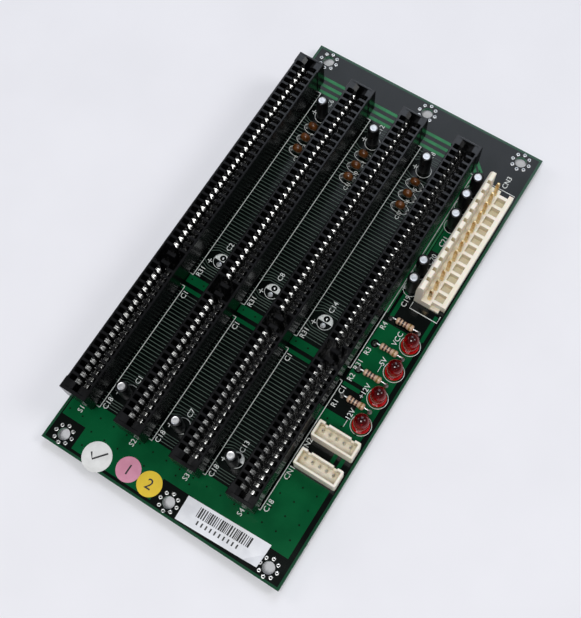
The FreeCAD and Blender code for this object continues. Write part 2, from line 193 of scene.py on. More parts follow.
TRACK_RUNS = ((65.6, 42.0), (41.5, -13.0), (-20.6, -65.5))
SLOT_CLEAR = 3.9
CAN_CLEAR = 2.9
CAN_SKIP = 1.5
FAR_REACH = 5.4
NEAR_REACH = 6.2
SQUEEZE_FADE = 2.0


def middles(node, count):
    """Middles (x, y) of the numbered pieces of one kind in the frame, a row each."""
    boxes = np.array([box_mm(node % number) for number in range(1, count + 1)])
    return boxes.mean(axis=1)[:, :2]


def quads(rows, columns, closed=False):
    """Corner numbers of a grid of points numbered row by row; closed joins the last column to the first."""
    spans = columns if closed else columns - 1
    row, column = np.meshgrid(np.arange(rows - 1), np.arange(spans), indexing="ij")
    here = row * columns + column
    after = row * columns + (column + 1) % columns
    return np.stack([here, after, after + columns, here + columns], -1).reshape(-1, 4)


def capped(rows, columns):
    """Faces of a tube from rows of points that each close on themselves, with a face over either end."""
    ends = np.arange(columns) + np.array([[0], [(rows - 1) * columns]])
    return quads(rows, columns, closed=True).tolist() + ends.tolist()


def repeat(points, faces, offsets):
    """The same shape moved to each offset, as one set of points and faces."""
    offsets = np.asarray(offsets, float)
    faces = np.asarray(faces)
    moved = points + offsets[:, None]
    numbered = faces + len(points) * np.arange(len(offsets))[:, None, None]
    return moved.reshape(-1, 3), numbered.reshape(-1, faces.shape[1])


def join(*shapes):
    """Several sets of points and faces as one, with the later faces renumbered."""
    points = []
    faces = []
    count = 0
    for more, corners in shapes:
        points.append(more)
        faces += [[corner + count for corner in face] for face in np.asarray(corners).tolist()]
        count += len(more)
    return np.concatenate(points), faces


def plates(low, height):
    """Thin plates from the four base corners of each: the same four raised by the height are its top."""
    points = np.concatenate([low, low + (0, 0, height)], 1)
    faces = PLATE_SIDES + 8 * np.arange(len(low))[:, None, None]
    return points.reshape(-1, 3), faces.reshape(-1, 4)


def slabs(outlines, base, height):
    """Thin plates on one level from rows of (x0, x1, y0, y1)."""
    outlines = np.asarray(outlines, float)
    x = outlines[:, [0, 1, 1, 0]]
    y = outlines[:, [2, 2, 3, 3]]
    return plates(np.stack([x, y, np.full_like(x, base)], -1), height)


def square_to(lines):
    """Direction square to a line in a plane at each of its points, a quarter turn to the left of its run."""
    along = np.gradient(lines, axis=-2)
    along /= np.linalg.norm(along, axis=-1, keepdims=True)
    return np.stack([-along[..., 1], along[..., 0]], -1)


def ribbons(paths, width, base, height, closed=False):
    """Flat-topped ribbons: a four-cornered section, narrower at the top, set square to each centre line.

    A closed line runs on from its last point to its first; an open one has an end face at each end.
    """
    paths = np.asarray(paths, float)
    across = square_to(paths)
    if closed:
        looped = np.concatenate([paths[:, -1:], paths, paths[:, :2]], 1)
        across = square_to(looped)[:, 1:-1]
        paths = looped[:, 1:-1]
    count, steps = paths.shape[:2]
    reach = np.array([0.5, 0.5, -0.5, -0.5]) * width - np.array([0, 1, -1, 0]) * height
    level = base + np.array([0, 1, 1, 0]) * height
    flat = paths[:, :, None] + across[:, :, None] * reach[:, None]
    points = np.concatenate([flat, np.broadcast_to(level[:, None], (count, steps, 4, 1))], -1)
    one = quads(steps, 4, closed=True) if closed else np.array(capped(steps, 4))
    faces = one + 4 * steps * np.arange(count)[:, None, None]
    return points.reshape(-1, 3), faces.reshape(-1, 4)


def place(name, shape, finishes, node=None, picks=None, smooth=False):
    """Makes a piece from points in millimetres, merges double points, turns faces out and rides it on root.

    It replaces a node of the frame where one is named. picks gives the finish of each face by its number;
    smooth shades the piece round, apart from its sharp edges.
    """
    points, faces = shape
    mesh = bpy.data.meshes.new(name)
    mesh.from_pydata((points * MM).tolist(), [], faces if isinstance(faces, list) else faces.tolist())
    for finish in finishes:
        mesh.materials.append(finish)
    if picks is not None:
        mesh.polygons.foreach_set("material_index", np.asarray(picks, np.int32))
    shaping = bmesh.new()
    shaping.from_mesh(mesh)
    bmesh.ops.remove_doubles(shaping, verts=shaping.verts, dist=DOUBLE_POINTS)
    bmesh.ops.dissolve_degenerate(shaping, edges=shaping.edges, dist=DOUBLE_POINTS)
    bmesh.ops.recalc_face_normals(shaping, faces=shaping.faces)
    shaping.to_mesh(mesh)
    shaping.free()
    if smooth:
        mesh.shade_smooth()
        mesh.set_sharp_from_angle(angle=math.radians(SHARP_ANGLE))
    piece = bpy.data.objects.new(name, mesh)
    bpy.context.scene.collection.objects.link(piece)
    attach(piece, "root")
    if node:
        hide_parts(node)


def bus_tracks(y, x, round_parts):
    """Tracks straight along X at each y, squeezed clear of round parts given as rows of (x, y, reach).

    A track nearer a part than CAN_SKIP is left out. Distances from there to its reach are mapped to CAN_CLEAR
    to reach, and the squeeze fades in over SQUEEZE_FADE on either side along X.
    """
    y = y[(np.abs(y[:, None] - round_parts[:, 1]) > CAN_SKIP).all(1)]
    line_y = np.repeat(y[:, None], len(x), axis=1)
    for part_x, part_y, reach in round_parts:
        fade = np.clip((CAN_CLEAR + SQUEEZE_FADE - np.abs(x - part_x)) / SQUEEZE_FADE, 0, 1)
        off = line_y - part_y
        away = CAN_CLEAR + (np.abs(off) - CAN_SKIP) * (reach - CAN_CLEAR) / (reach - CAN_SKIP)
        squeezed = part_y + np.sign(off) * away
        line_y = np.where(np.abs(off) < reach, line_y + (squeezed - line_y) * fade, line_y)
    return np.stack([np.broadcast_to(x, line_y.shape), line_y], -1)


# Mask over copper: the copper brightens the mask, with slow drift where its thickness changes
mask_on_copper = drifting_finish("solder mask on copper plane", ("#034a28", "#04542e"), patch=9.0,
                                 rough=(0.22, 0.28), bump=0.004, bump_grain=0.5, Specular_IOR_Level=0.06)
# The wide stripes at the far end are a lighter green than the planes
mask_on_stripes = drifting_finish("solder mask on bus stripes", ("#1f6a3d", "#2b7b4b"), patch=4.0,
                                  rough=(0.22, 0.32), Specular_IOR_Level=0.2)
# Over the narrow tracks the mask is a pale grey-green: a green mask under painted sheen that stands in for
# light off the tracks' ridges
track_mask_with_painted_sheen = drifting_finish("solder mask on copper tracks with painted sheen", ("#45544c", "#57665d"), patch=6.0,
                                 rough=(0.15, 0.24), Specular_IOR_Level=0.2)

slot_x = middles("slot_housing_%d", 4)[:, 0]
gap_x = (slot_x[:-1] + slot_x[1:]) / 2
gap_half = (slot_x[1] - slot_x[0]) / 2 - SLOT_CLEAR
can_places = middles("electrolytic_capacitor_%02d", 11)
far_can_y, near_can_y = can_places[:2, 1]
copper_top = board_top + COPPER
key_bands = [(x - gap_half, x + gap_half, low, high) for x in gap_x for low, high in KEY_BANDS]
plane_shape = slabs([*PLANES, *key_bands], board_top, COPPER)
place("copper_planes", plane_shape, [mask_on_copper])
stripes = join(ribbons(BUS_STRIPES, BUS_STRIPE_WIDTH, board_top, COPPER),
               ribbons(SIDE_STRIPES, SIDE_STRIPE_WIDTH, board_top, COPPER))
place("bus_stripes", stripes, [mask_on_stripes])
place("ground_plane", slabs(GROUND, board_under - COPPER, COPPER), [mask_on_copper])

tracks = []
for x in gap_x:
    sample_x = x + gap_half * np.linspace(-1, 1, TRACK_POINTS)
    round_parts = np.array([(x, far_can_y, FAR_REACH), (x, EMPTY_CAN_Y, NEAR_REACH),
                            (x, near_can_y, NEAR_REACH)])
    for far, near in TRACK_RUNS:
        run_y = np.arange(far, near, -TRACK_PITCH)
        bends = (np.abs(run_y[:, None] - round_parts[:, 1]) < round_parts[:, 2]).any(1)
        bent = bus_tracks(run_y[bends], sample_x, round_parts)
        straight = bus_tracks(run_y[~bends], sample_x[[0, -1]], round_parts)
        tracks += [ribbons(lines, TRACK_WIDTH, board_top, COPPER) for lines in (bent, straight)]
place("bus_tracks", join(*tracks), [track_mask_with_painted_sheen])

# Vias and pads
# Plated holes: small masked vias stitch the planes, and a ring of eight tinned ones stands round each fixing
# hole. Each empty capacitor place has one tinned land and one hole filled with solder.
VIA_STEP = 5.08
VIA_ROWS = ((-31.7, -69.3, 15), (29.2, -53.8, 3), (29.2, -58.9, 3), (29.2, -64.0, 3), (29.2, -31.2, 3))
LONE_VIAS = (
    (-42.0, -71.8), (-37.0, -71.8), (-31.7, -74.4), (-26.6, -74.4), (-21.5, -74.4), (-11.3, -74.4),
    (-31.7, -79.4), (-1.2, -71.6), (3.9, -71.6),
)
KEY_VIA_Y = -15.0
KEY_VIA_STEPS = (-4.6, 0.0, 4.2)
HOLE_INSET_Y = 4.25
HOLE_INSET_LEFT = 5.75
HOLE_INSET_RIGHT = 6.15
HOLE_RING_R = 3.0
HOLE_RING_COUNT = 8
CAN_LEAD = 1.27
VIA_RING = ((0.26, 0.0), (0.29, 0.06), (0.4, 0.06), (0.46, 0.0), (0.26, 0.0))
TIN_RING = ((0.24, 0.0), (0.3, 0.1), (0.46, 0.13), (0.62, 0.09), (0.7, 0.0), (0.24, 0.0))
LAND = ((0.0, 0.0), (0.95, 0.0), (0.9, 0.07), (0.55, 0.1), (0.0, 0.11))
PLUG = ((0.0, 0.0), (0.42, 0.0), (0.38, 0.12), (0.22, 0.2), (0.0, 0.22))
BORE_SHADE_DISC = ((0.0, 0.0), (0.29, 0.0), (0.29, 0.03), (0.0, 0.03))


def turned(profile, sides):
    """A profile of (radius, height) points turned about Z with a number of sides; radius 0 is the axis."""
    radius, height = np.asarray(profile, float).T
    angle = np.linspace(0, 2 * math.pi, sides, endpoint=False)
    x = radius[:, None] * np.cos(angle)
    y = radius[:, None] * np.sin(angle)
    z = np.broadcast_to(height[:, None], x.shape)
    return np.stack([x, y, z], -1).reshape(-1, 3), quads(len(radius), sides, closed=True)


def at_level(places, z):
    """Places (x, y) on the board as points at one height."""
    return np.column_stack([places, np.full(len(places), z)])


# Hot-dipped tin: bright, slightly rippled
tinned = drifting_finish("hot-dipped tin solder", ("#b9babb", "#d6d6d3"), patch=0.8, rough=(0.22, 0.4),
                         metallic=1.0, bump=0.01, bump_grain=0.35)
# The open bore of a via is unlit: a flat dark disc of painted shade, with a trace of flux
painted_bore_shade = drifting_finish("unlit plated bore", ("#050302", "#0a0604"), patch=1.0, rough=(0.5, 0.6),
                           Specular_IOR_Level=0.05)

plane_vias = [(x + VIA_STEP * step, y) for x, y, count in VIA_ROWS for step in range(count)]
plane_vias += [*LONE_VIAS, *((x + step, KEY_VIA_Y) for x in gap_x for step in KEY_VIA_STEPS)]
masked = repeat(*turned(VIA_RING, sides=12), at_level(plane_vias, board_top + COPPER / 2))
place("masked_vias", masked, [mask_on_copper])

hole_x = (board_low[0] + HOLE_INSET_LEFT, slot_x[2], board_high[0] - HOLE_INSET_RIGHT)
hole_y = (board_low[1] + HOLE_INSET_Y, board_high[1] - HOLE_INSET_Y)
fixing_holes = np.array([(x, y) for x in hole_x for y in hole_y])
ring_angle = np.linspace(0, 2 * math.pi, HOLE_RING_COUNT, endpoint=False)
around = np.stack([np.cos(ring_angle), np.sin(ring_angle)], -1) * HOLE_RING_R
hole_vias = (fixing_holes[:, None] + around).reshape(-1, 2)
tin_points, tin_faces = turned(TIN_RING, sides=14)
tin_shapes = join(
    repeat(tin_points, tin_faces, at_level(hole_vias, board_top)),
    repeat(tin_points * (1, 1, -1), tin_faces, at_level(hole_vias, board_under)),
    repeat(*turned(LAND, sides=8), [(x, EMPTY_CAN_Y - CAN_LEAD, board_top) for x in gap_x]),
    repeat(*turned(PLUG, sides=14), [(x, EMPTY_CAN_Y + CAN_LEAD, board_top) for x in gap_x]),
)
place("tinned_vias", tin_shapes, [tinned], smooth=True)

# Painted shade: a thin dark disc in each via stands in for its unlit bore
bore_spots = np.concatenate([at_level(plane_vias, copper_top), at_level(hole_vias, board_top)])
place("via_bore_shade_discs", repeat(*turned(BORE_SHADE_DISC, sides=10), bore_spots), [painted_bore_shade])

# Clearances
# Where a resistor's end must not touch the plane, the copper is etched away in a disc and the bare board
# shows dark.
WIRE_R = 0.3
CLEAR_DISC = ((0.0, 0.0), (1.45, 0.0), (1.42, 0.012), (0.0, 0.012))
resistor_places = middles("resistor_%d", 4)
clear_x = box_mm("resistor_2")[0][0] + WIRE_R
clear_spots = [(clear_x, y, copper_top) for y in resistor_places[1:3, 1]]
place("cleared_discs", repeat(*turned(CLEAR_DISC, sides=28), clear_spots), [bare_mask])

# Printed legend
# White epoxy ink, screen-printed on the mask: slot outlines, part outlines and generic designators that
# all read up the board.
INK = 0.03
LINE = 0.27
RING_LINE = 0.18
RING_SIDES = 40
LETTER_HEIGHT = 1.75
SMALL_LETTER = 1.4
CAPITAL_SHARE = 0.7
LETTER_SWELL = 0.004
OUTLINE_HALF = 4.85
OUTLINES = ((66.9, -13.4), (-18.3, -66.5))
TICK = 1.2
CAN_RING_R = 2.62
LAMP_RING_R = 3.4
BEAD_RING = (3.3, 1.9)
NEAR_RING_SHIFT = (0.2, 0.95)
NEAR_MARGIN = 1.0
CLEARING_R = 1.08
LEAST_FALL = 0.2
PLUS_HALF = 0.85
GAP_PLUS_X = -3.3
EMPTY_PLUS_Y = -1.7
NEAR_PLUS_Y = -0.7
LAST_PLUS = (-2.3, -0.8)
HEADER_BRACKET_X = (32.6, 42.7)
HEADER_BRACKETS = ((66.9, 65.0), (14.1, 16.6))
LABEL_GAP = 1.45
SLOT_MARKS = (("R31", -11.2), ("C1", -21.0), ("C18", -64.0))
SLOT_NUMBER = (0.1, -70.2)
GAP_PARTS = 6
GAP_MARKS = ((0, 0.2, -52.7), (1, -0.3, 1.2), (5, -0.5, 65.2))
BEAD_MARKS = ((2, 0.9, 50.7), (3, 0.9, 45.7), (4, 0.9, 40.7))
LAMP_MARKS = ("VCC", "—5V", "+12V", "—12V")
LAMP_MARK_X = 34.6
RESISTOR_MARK_X = 28.5
RESISTOR_MARK_Y = 1.7
OTHER_MARKS = (
    ("CN3", 38.0, 70.2), ("CN2", 28.2, -41.8), ("CN1", 28.2, -52.2),
    ("C19", 30.4, 15.4), ("C20", 30.4, 32.6), ("C21", 30.4, 40.0),
)


def lettering(words, x, y, height=LETTER_HEIGHT, turn=90.0, level=copper_top):
    """Letters as a thin plate, turned about their middle and centred on a point."""
    curve = bpy.data.curves.new("letters", "FONT")
    curve.body = words
    curve.resolution_u = 2
    curve.offset = LETTER_SWELL
    curve.extrude = INK / 2 / height * CAPITAL_SHARE
    holder = bpy.data.objects.new("letters", curve)
    plate = bpy.data.meshes.new_from_object(holder)
    points = np.empty(3 * len(plate.vertices))
    plate.vertices.foreach_get("co", points)
    plate.calc_loop_triangles()
    corners = np.empty(3 * len(plate.loop_triangles), np.int32)
    plate.loop_triangles.foreach_get("vertices", corners)
    bpy.data.objects.remove(holder)
    bpy.data.curves.remove(curve)
    bpy.data.meshes.remove(plate)
    points = points.reshape(-1, 3) * height / CAPITAL_SHARE
    points[:, :2] -= (points[:, :2].min(0) + points[:, :2].max(0)) / 2
    sine = math.sin(math.radians(turn))
    cosine = math.cos(math.radians(turn))
    turned_x = points[:, 0] * cosine - points[:, 1] * sine + x
    turned_y = points[:, 0] * sine + points[:, 1] * cosine + y
    return np.stack([turned_x, turned_y, points[:, 2] + level + INK / 2], -1), corners.reshape(-1, 3)


# Screen ink: chalky white, thin enough to look a little broken
ink = drifting_finish("screen-printed white epoxy ink", ("#c4c9c5", "#eef0ed"), patch=0.6, rough=(0.5, 0.65))

lamp_places = middles("indicator_led_%d", 4)
bead_places = middles("ceramic_capacitor_%d", 9)
lines = []
for x in slot_x:
    for side in (-1, 1):
        line_x = x + side * OUTLINE_HALF
        for far, near in OUTLINES:
            lines.append(((line_x, far), (line_x, near)))
            lines += [((line_x, end), (line_x - side * TICK, end)) for end in (far, near)]
plus_y = (far_can_y, EMPTY_CAN_Y + EMPTY_PLUS_Y, near_can_y + NEAR_PLUS_Y)
plus_places = [(x + GAP_PLUS_X, y) for x in gap_x for y in plus_y] + [can_places[-1] + LAST_PLUS]
for x, y in plus_places:
    lines.append(((x - PLUS_HALF, y), (x + PLUS_HALF, y)))
    lines.append(((x, y - PLUS_HALF), (x, y + PLUS_HALF)))
starts, ends = np.array(lines).transpose(1, 0, 2)
left, right = HEADER_BRACKET_X
brackets = [[(left, turn_y), (left, y), (right, y), (right, turn_y)] for y, turn_y in HEADER_BRACKETS]
near_rings = [(x + NEAR_RING_SHIFT[0], near_can_y + NEAR_RING_SHIFT[1]) for x in gap_x]
can_rings = [(x, y) for x, y in can_places if y > near_can_y + NEAR_MARGIN] + near_rings
can_rings += [(x, EMPTY_CAN_Y) for x in gap_x]
rings = [(x, y, CAN_RING_R, CAN_RING_R) for x, y in can_rings]
rings += [(x, y, LAMP_RING_R, LAMP_RING_R) for x, y in lamp_places]
rings += [(x, y, *BEAD_RING) for x, y in bead_places]
ring_turn = np.linspace(0, 2 * math.pi, RING_SIDES, endpoint=False)
toward = np.stack([np.cos(ring_turn), np.sin(ring_turn)], -1)
ovals = np.array(rings)[:, None, :2] + np.array(rings)[:, None, 2:] * toward
legend = [
    ribbons(np.linspace(starts, ends, 3, axis=1), LINE, copper_top, INK),
    ribbons(brackets, LINE, copper_top, INK),
    ribbons(ovals, RING_LINE, copper_top, INK, closed=True),
]

# Each empty capacitor place, and the one at the near end of the last gap, has its far half printed solid, but
# for a round clearing at its land: rays from the land run from the clearing to the ring or the middle line
lean = CAN_LEAD * toward[:, 1]
to_ring = np.sqrt(lean ** 2 - CAN_LEAD ** 2 + CAN_RING_R ** 2) - lean
fall = -toward[:, 1]
to_middle = np.where(fall > LEAST_FALL, CAN_LEAD / np.maximum(fall, LEAST_FALL), np.inf)
outer = np.minimum(to_ring, to_middle)
inner = np.full(RING_SIDES, CLEARING_R)
half_points = np.zeros((5, RING_SIDES, 3))
half_points[..., :2] = np.stack([inner, outer, outer, inner, inner])[..., None] * toward + (0, CAN_LEAD)
half_points[2:4, :, 2] = INK
half_places = at_level([(x, EMPTY_CAN_Y) for x in gap_x] + near_rings[2:], copper_top)
legend.append(repeat(half_points.reshape(-1, 3), quads(5, RING_SIDES, closed=True), half_places))

marks = list(OTHER_MARKS)
small_marks = []
for number, x in enumerate(slot_x, start=1):
    marks += [(words, x + OUTLINE_HALF + LABEL_GAP, y) for words, y in SLOT_MARKS]
    marks.append(("S%d" % number, x + SLOT_NUMBER[0], SLOT_NUMBER[1]))
for number, x in enumerate(gap_x):
    first = GAP_PARTS * number + 1
    marks += [("C%d" % (first + part), x + aside, y) for part, aside, y in GAP_MARKS]
    small_marks += [("C%d" % (first + part), x + aside, y) for part, aside, y in BEAD_MARKS]
for number, y in enumerate(lamp_places[:, 1]):
    marks.append(("R%d" % (len(lamp_places) - number), RESISTOR_MARK_X, y + RESISTOR_MARK_Y))
    marks.append((LAMP_MARKS[number], LAMP_MARK_X, y))
legend += [lettering(*mark) for mark in marks]
legend += [lettering(*mark, SMALL_LETTER) for mark in small_marks]
place("printed_legend", join(*legend), [ink])

# Card slots
# Each slot is one black glass-filled polyester moulding: a stepped foot, a thin rim, wider ends, a card
# slot with chamfered lips, cells on both sides between ribs, and a key space with two cross walls.
SLOT_FOOT = 4.5
FOOT_INSET = 0.8
SLOT_HALF = 4.5
END_EXTRA = 0.25
END_LENGTH = 4.0
CELL_OUT = 3.75
CELL_HALF = 0.82
CELL_DEPTH = 10.5
CELL_LEAN = 0.15
CELL_KNEE = 5.0
CELL_FOOT = 1.9
SHOULDER = 3.2
LIP_HALF = 1.5
LIP_DROP = 0.7
LEAD_HALF = 2.3
LEAD_DROP = 0.8
CARD_HALF = 1.0
RIM_BEVEL = 0.22
RIB_BEVEL = 0.1
CONTACT_PITCH = 2.54
LONG_RUN = 31
SHORT_RUN = 18
FIRST_CONTACT = 4.1
SECTION_GAP = 10.16
CARD_OVERRUN = 3.4
KEY_WALL = 1.3
KEY_WALL_HALF = 1.5
BLOCK, RIB, CELL, KEY, WALL, LEAD = range(6)
slot_low, slot_high = box_mm("slot_housing_1")
slot_near = slot_low[1]
slot_far = slot_high[1]
slot_height = slot_high[2] - board_top
long_y = slot_far - FIRST_CONTACT - CONTACT_PITCH * np.arange(LONG_RUN)
short_y = long_y[-1] - SECTION_GAP - CONTACT_PITCH * np.arange(SHORT_RUN)
contact_y = np.concatenate([long_y, short_y])


def slot_sections(top):
    """Left half of each kind of cross-section, foot to middle, as (x, z), in the order of the kinds' numbers.

    The first table has them as they are, the second with the top face lowered by the rib's bevel, for edges.
    """
    floor = top - CELL_DEPTH
    outer = [(FOOT_INSET - SLOT_HALF, 0), (FOOT_INSET - SLOT_HALF, SLOT_FOOT), (-SLOT_HALF, SLOT_FOOT),
             (-SLOT_HALF, top - RIM_BEVEL), (RIM_BEVEL - SLOT_HALF, top), (-CELL_OUT - RIB_BEVEL, top)]
    open_side = (-CELL_OUT, top - RIB_BEVEL)
    card_floor = [(-CARD_HALF, floor), (0, floor)]
    key_side = [open_side, (-CELL_OUT, floor), (-KEY_WALL_HALF, floor)]
    tables = []
    for high in (top, top - RIB_BEVEL):
        shoulder = (-SHOULDER, high)
        inner = (
            [shoulder, (-LIP_HALF, high), (-CARD_HALF, high), (-CARD_HALF / 2, high), (0, high)],
            [shoulder, (-LIP_HALF, high), (-CARD_HALF, high - LIP_DROP)] + card_floor,
            [open_side, (CELL_LEAN - CELL_OUT, top - CELL_KNEE), (-CELL_FOOT, floor)] + card_floor,
            key_side + [(-KEY_WALL_HALF, floor), (0, floor)],
            key_side + [(-KEY_WALL_HALF, high), (0, high)],
            [shoulder, (-LEAD_HALF, high), (-CARD_HALF, high - LEAD_DROP)] + card_floor,
        )
        tables.append([outer + half for half in inner])
    return np.array(tables)


def slot_moulding():
    """A slot on the middle line as cross-sections carried along Y: a change of section is two at one place.

    The length is cut where a cell, rib, key or end starts; each stretch gets the section of its middle.
    """
    cells = np.concatenate([contact_y - CELL_HALF, contact_y + CELL_HALF])
    card_ends = np.array([long_y[0] + CARD_OVERRUN, short_y[-1] - CARD_OVERRUN])
    key_ends = np.array([long_y[-1] - CONTACT_PITCH + CELL_HALF, short_y[0] + CONTACT_PITCH - CELL_HALF])
    wall_tops = np.array([long_y[-1] - CARD_OVERRUN, short_y[0] + CARD_OVERRUN])
    wide_ends = np.array([slot_far - END_LENGTH, slot_near + END_LENGTH])
    foot_ends = np.array([slot_far - FOOT_INSET, slot_near + FOOT_INSET])
    cuts = np.concatenate([cells, card_ends, key_ends, wall_tops, wall_tops - KEY_WALL, wide_ends, foot_ends])
    cuts = np.unique(np.concatenate([cuts, [slot_far, slot_near]]))[::-1]
    start, end = cuts[:-1], cuts[1:]
    middle = (start + end) / 2
    in_wall = (np.abs(middle[:, None] - (wall_tops - KEY_WALL / 2)) < KEY_WALL / 2).any(1)
    in_key = (middle < key_ends[0]) & (middle > key_ends[1])
    in_cell = (np.abs(middle[:, None] - contact_y) < CELL_HALF).any(1)
    in_card = (middle < card_ends[0]) & (middle > card_ends[1])
    in_lead = in_card & ((middle > contact_y[0]) | (middle < contact_y[-1]))
    kind = np.select([in_wall, in_key, in_cell, in_lead, in_card], [WALL, KEY, CELL, LEAD, RIB], BLOCK)
    wide = (middle > wide_ends[0]) | (middle < wide_ends[1])
    lifted = (middle > foot_ends[0]) | (middle < foot_ends[1])
    changes = np.concatenate([[True], kind[1:] != kind[:-1], [True]])
    station_y = np.stack([start, start - RIB_BEVEL, end + RIB_BEVEL, end], -1)
    station_y[:, 1] = np.maximum(station_y[:, 1], middle)
    station_y[:, 2] = np.minimum(station_y[:, 2], middle)
    inside = np.zeros_like(wide)
    edge = np.stack([changes[:-1], inside, inside, changes[1:]], -1).astype(int)
    left = slot_sections(slot_height)[edge, kind[:, None]]
    left[..., 2:5, 0] -= END_EXTRA * wide[:, None, None]
    left[..., 0, 1] = np.where(lifted[:, None], SLOT_FOOT, left[..., 0, 1])
    left = left.reshape(-1, left.shape[2], 2)
    right = left[:, -2::-1] * (-1, 1)
    x, z = np.moveaxis(np.concatenate([left, right], 1), -1, 0)
    y = np.broadcast_to(station_y.reshape(-1, 1), x.shape)
    return np.stack([x, y, board_top + z], -1).reshape(-1, 3), capped(*x.shape)


def place_each(name, shape, spots, finishes, node, picks=None, smooth=False):
    """The same piece at each spot; its name and the node that it replaces take the number of the spot."""
    points, faces = shape
    for number, spot in enumerate(spots, start=1):
        place(name % number, (points + spot, faces), finishes, node % number, picks, smooth)


# Moulded polyester: satin black with a fine eroded-mould grain
slot_plastic = drifting_finish("moulded black polyester", ("#09090a", "#0f0f11"), patch=3.0,
                               rough=(0.19, 0.26), bump=0.0012, bump_grain=0.25, Specular_IOR_Level=0.3)
slot_spots = [(x, 0, 0) for x in slot_x]
place_each("slot_moulding_%d", slot_moulding(), slot_spots, [slot_plastic], "slot_housing_%d")

# Spring contacts
# Tin-plated bronze leaves stamped in strips: each rises beside the card, bows in to touch it, then splits
# in two tines that lie back into the cell. The tails pass the board and end in solder cones in two rows.
SPRING_THICKNESS = 0.22
TINE_WIDTH = 0.58
TINE_CENTRE = 0.36
SPRING_LINE = ((0.95, 0.05), (0.86, 3.6), (0.6, 6.4), (0.72, 7.0), (1.1, 7.3), (2.3, 7.86))
TAIL_ROW = 2.54
TAIL_CONE = ((0.0, 0.0), (0.95, 0.0), (0.62, -0.2), (0.4, -0.7), (0.3, -1.5), (0.0, -1.7))


def spring_tine():
    """A flat strip carried along a bent line in X and Z: a thin rectangle square to it at each point."""
    line = np.array(SPRING_LINE)
    across = square_to(line) * SPRING_THICKNESS / 2
    corner = np.stack([line + across, line + across, line - across, line - across], 1)
    y = np.broadcast_to(TINE_WIDTH / 2 * np.array([-1, 1, 1, -1]), corner.shape[:2])
    return np.stack([corner[..., 0], y, corner[..., 1]], -1).reshape(-1, 3), capped(len(line), 4)


def both_sides(points, faces):
    """A shape and its mirror image across the middle in X, as one."""
    return join((points, faces), (points * (-1, 1, 1), faces))


# Bright tin plate on bronze, with soft patches of duller shine
spring_tin = drifting_finish("bright tin-plated bronze", ("#c9c9c6", "#e6e6e3"), patch=0.7, rough=(0.16, 0.3),
                             metallic=1.0)
leaf = repeat(*spring_tine(), [(0, -TINE_CENTRE, 0), (0, TINE_CENTRE, 0)])
leaves = repeat(*both_sides(*leaf), [(0, y, slot_high[2] - CELL_DEPTH) for y in contact_y])
tail_places = [(side * TAIL_ROW, y) for y in contact_y for side in (-1, 1)]
tails = repeat(*turned(TAIL_CONE, sides=8), at_level(tail_places, board_under))
picks = np.repeat([0, 1], [len(leaves[1]), len(tails[1])])
place_each("slot_springs_%d", join(leaves, tails), slot_spots, [spring_tin, tinned],
           "slot_contacts_%d", picks, smooth=True)

# Lead ends under the board
# The leads of every other part pass through plated holes, are cut 2 mm below the board and are wave-soldered
# in cones of tin solder. The board lies on these ends.
LEAD_CONE = ((0.0, 0.0), (1.05, 0.0), (0.7, -0.25), (0.46, -0.75), (0.34, -1.8), (0.2, -1.97), (0.0, -2.0))
TIP_HEIGHT = 0.1
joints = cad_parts["lead_joints"].data
joint_points = np.empty(3 * len(joints.vertices))
joints.vertices.foreach_get("co", joint_points)
joint_points = joint_points.reshape(-1, 3) / MM
tips = np.unique(np.round(joint_points[joint_points[:, 2] < TIP_HEIGHT][:, :2], 3), axis=0)
lead_ends = repeat(*turned(LEAD_CONE, sides=12), at_level(tips, board_under))
place("soldered_lead_ends", lead_ends, [tinned], "lead_joints", smooth=True)

# Power header
# One natural nylon moulding: a low bed with key recesses between the pins and a tall locking wall with
# notches. The twelve square pins are drawn brass with a thin tin flash.
PIN_PITCH = 3.96
PIN_COUNT = 12
BED = 3.7
WALL_BACK = 9.0
WALL_TOP = 13.4
WALL_WIDE = 2.4
WALL_STEP = 1.2
WALL_CURVE = ((0.12, 2.2), (0.45, 0.8), (1.0, 0.1))
NOTCH_DROP = 3.0
NOTCH_HALF = 0.65
RECESS_HALF = 1.45
RECESS_FLOOR = 1.0
RECESS_START = 5.85
RECESS_END = 9.0
OPEN_END_EDGE = 9.01
SOFT_EDGE = 0.18
PAINTED_HOLLOW_SHADE = "#c8bb95"
HOLLOW_SHADE_REACH = 3.0
HOLLOW_SHADE_SPAN = (0.1, 0.75)


